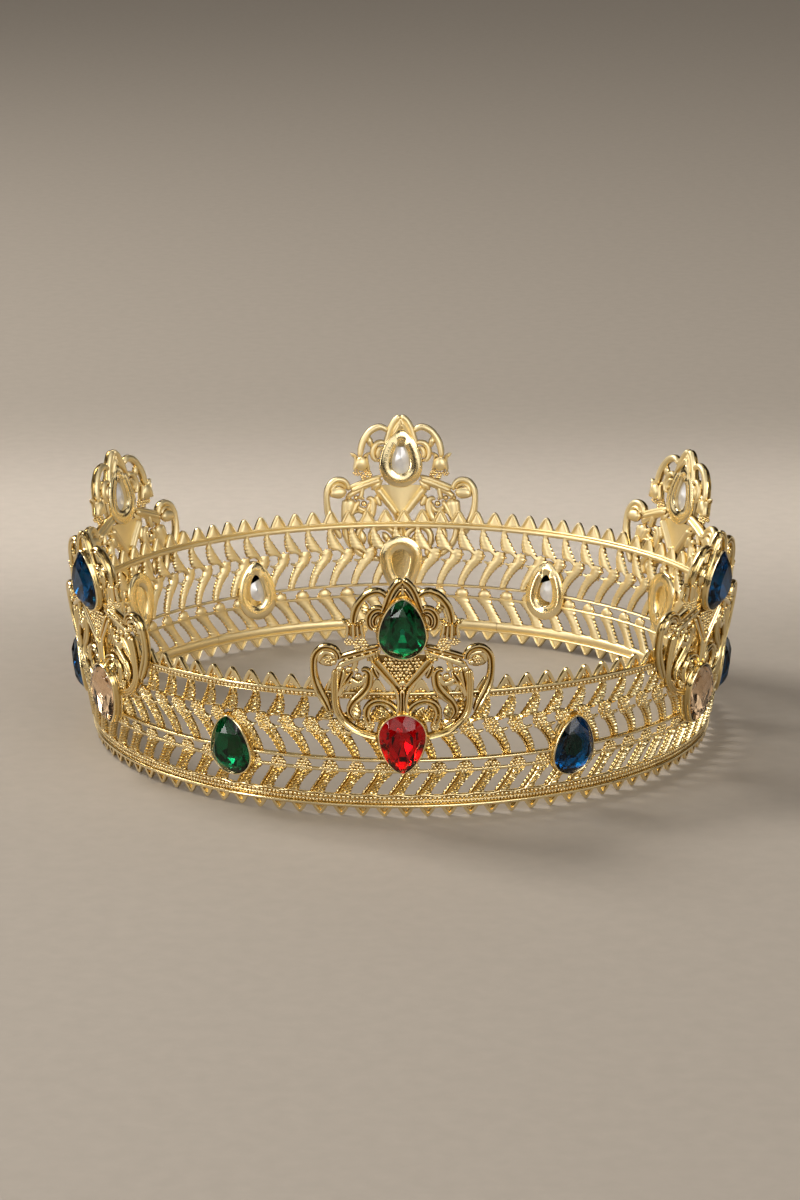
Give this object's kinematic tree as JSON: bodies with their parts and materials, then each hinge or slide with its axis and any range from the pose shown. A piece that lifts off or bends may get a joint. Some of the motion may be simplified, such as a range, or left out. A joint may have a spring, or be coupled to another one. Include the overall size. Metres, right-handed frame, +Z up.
{
  "type": "crown",
  "caption": "Full-round cast crown: openwork leaf band with pointed teeth, scrollwork crests and pear-shaped stones in bezel settings.",
  "frame": {"origin": "on the crown's axis, in the plane that the lower teeth stand on", "axes": "+Z up along the crown's axis; -Y through the front crest; +X towards the wearer's left as seen from the front (the viewer's right)"},
  "size_m": [0.1716, 0.1854, 0.0627],
  "materials": {
    "gold": "polished, pale yellow gold plating with beaded and ribbed areas",
    "emerald": "faceted green glass with a silver foil back",
    "ruby": "faceted red glass with a silver foil back",
    "sapphire": "faceted blue glass with a silver foil back",
    "champagne": "faceted peach-coloured glass with a silver foil back"
  },
  "bodies": {
    "root": {"band_segment_1": "gold", "crest_1": "gold", "upper_setting_1": "gold", "lower_setting_1": "gold", "band_setting_1": "gold", "upper_stone_1": "emerald", "lower_stone_1": "ruby", "band_stone_1": "sapphire", "band_segment_2": "gold", "crest_2": "gold", "upper_setting_2": "gold", "lower_setting_2": "gold", "band_setting_2": "gold", "upper_stone_2": "sapphire", "lower_stone_2": "champagne", "band_stone_2": "sapphire", "band_segment_3": "gold", "crest_3": "gold", "upper_setting_3": "gold", "lower_setting_3": "gold", "band_setting_3": "gold", "upper_stone_3": "emerald", "lower_stone_3": "ruby", "band_stone_3": "emerald", "band_segment_4": "gold", "crest_4": "gold", "upper_setting_4": "gold", "lower_setting_4": "gold", "band_setting_4": "gold", "upper_stone_4": "sapphire", "lower_stone_4": "champagne", "band_stone_4": "sapphire", "band_segment_5": "gold", "crest_5": "gold", "upper_setting_5": "gold", "lower_setting_5": "gold", "band_setting_5": "gold", "upper_stone_5": "emerald", "lower_stone_5": "ruby", "band_stone_5": "sapphire", "band_segment_6": "gold", "crest_6": "gold", "upper_setting_6": "gold", "lower_setting_6": "gold", "band_setting_6": "gold", "upper_stone_6": "sapphire", "lower_stone_6": "champagne", "band_stone_6": "emerald"}
  },
  "joints": []
}
